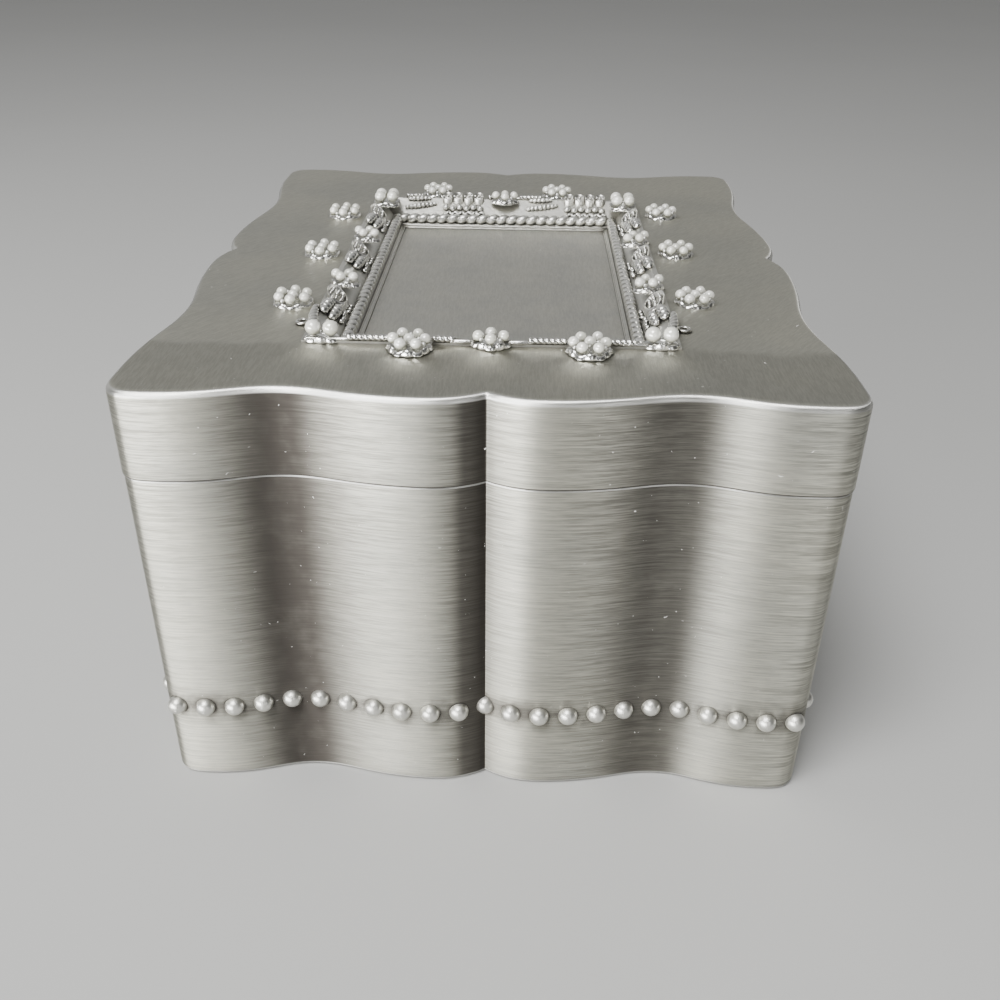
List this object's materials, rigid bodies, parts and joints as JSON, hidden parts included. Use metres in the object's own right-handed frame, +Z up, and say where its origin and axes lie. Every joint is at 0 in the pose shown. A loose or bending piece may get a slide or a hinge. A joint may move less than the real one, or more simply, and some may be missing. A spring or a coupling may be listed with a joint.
{
  "type": "rosary box",
  "caption": "Scalloped metal keepsake box with a hinged lid, a sunk picture frame with pearl clusters on the lid, a beaded foot and a velvet lining.",
  "frame": {"origin": "centre of the base, on the surface the box stands on", "axes": "+Z up, front of the box at -Y, hinges at +Y, +X to the right seen from the front"},
  "size_m": [0.1026, 0.1275, 0.0705],
  "materials": {
    "pewter": "cast pewter finish, brushed lengthways and softly tarnished in the hollows",
    "antique_pewter": "cast pewter ornament, darkened in its hollows and rubbed bright on its ridges",
    "pearl": "imitation seed pearl with a soft lustre",
    "hinge_metal": "plated steel hinge, satin",
    "velvet": "dark blue velvet over card and wadding",
    "felt": "black felt glued under the base"
  },
  "bodies": {
    "box": {"base_felt": "felt", "beads_front": "pewter", "beads_left": "pewter", "beads_rear": "pewter", "beads_right": "pewter", "box_body": "pewter", "floor_pad": "velvet", "hinge_leaf_box_left": "hinge_metal", "hinge_leaf_box_right": "hinge_metal", "hinge_pin_left": "hinge_metal", "hinge_pin_right": "hinge_metal", "wall_lining": "velvet"},
    "lid": {"centre_plate": "pewter", "cups_corner": "antique_pewter", "cups_inner_front": "antique_pewter", "cups_inner_left": "antique_pewter", "cups_inner_rear": "antique_pewter", "cups_inner_right": "antique_pewter", "cups_outer_front": "antique_pewter", "cups_outer_left": "antique_pewter", "cups_outer_rear": "antique_pewter", "cups_outer_right": "antique_pewter", "frame_rail_front": "antique_pewter", "frame_rail_left": "antique_pewter", "frame_rail_rear": "antique_pewter", "frame_rail_right": "antique_pewter", "hinge_leaf_lid_left": "hinge_metal", "hinge_leaf_lid_right": "hinge_metal", "leaves_front": "antique_pewter", "leaves_left": "antique_pewter", "leaves_rear": "antique_pewter", "leaves_right": "antique_pewter", "lid_pad": "velvet", "lid_shell": "pewter", "pearls_corner": "pearl", "pearls_inner_front": "pearl", "pearls_inner_left": "pearl", "pearls_inner_rear": "pearl", "pearls_inner_right": "pearl", "pearls_outer_front": "pearl", "pearls_outer_left": "pearl", "pearls_outer_rear": "pearl", "pearls_outer_right": "pearl", "rim_cord_front": "antique_pewter", "rim_cord_rear": "antique_pewter", "rope_front": "antique_pewter", "rope_left": "antique_pewter", "rope_rear": "antique_pewter", "rope_right": "antique_pewter"}
  },
  "joints": [
    {"name": "lid_hinge", "type": "hinge", "parent": "box", "child": "lid", "pos_m": [0, 0.06255, 0.0542], "axis": [-1, 0, 0], "range_deg": [0, 100]}
  ]
}
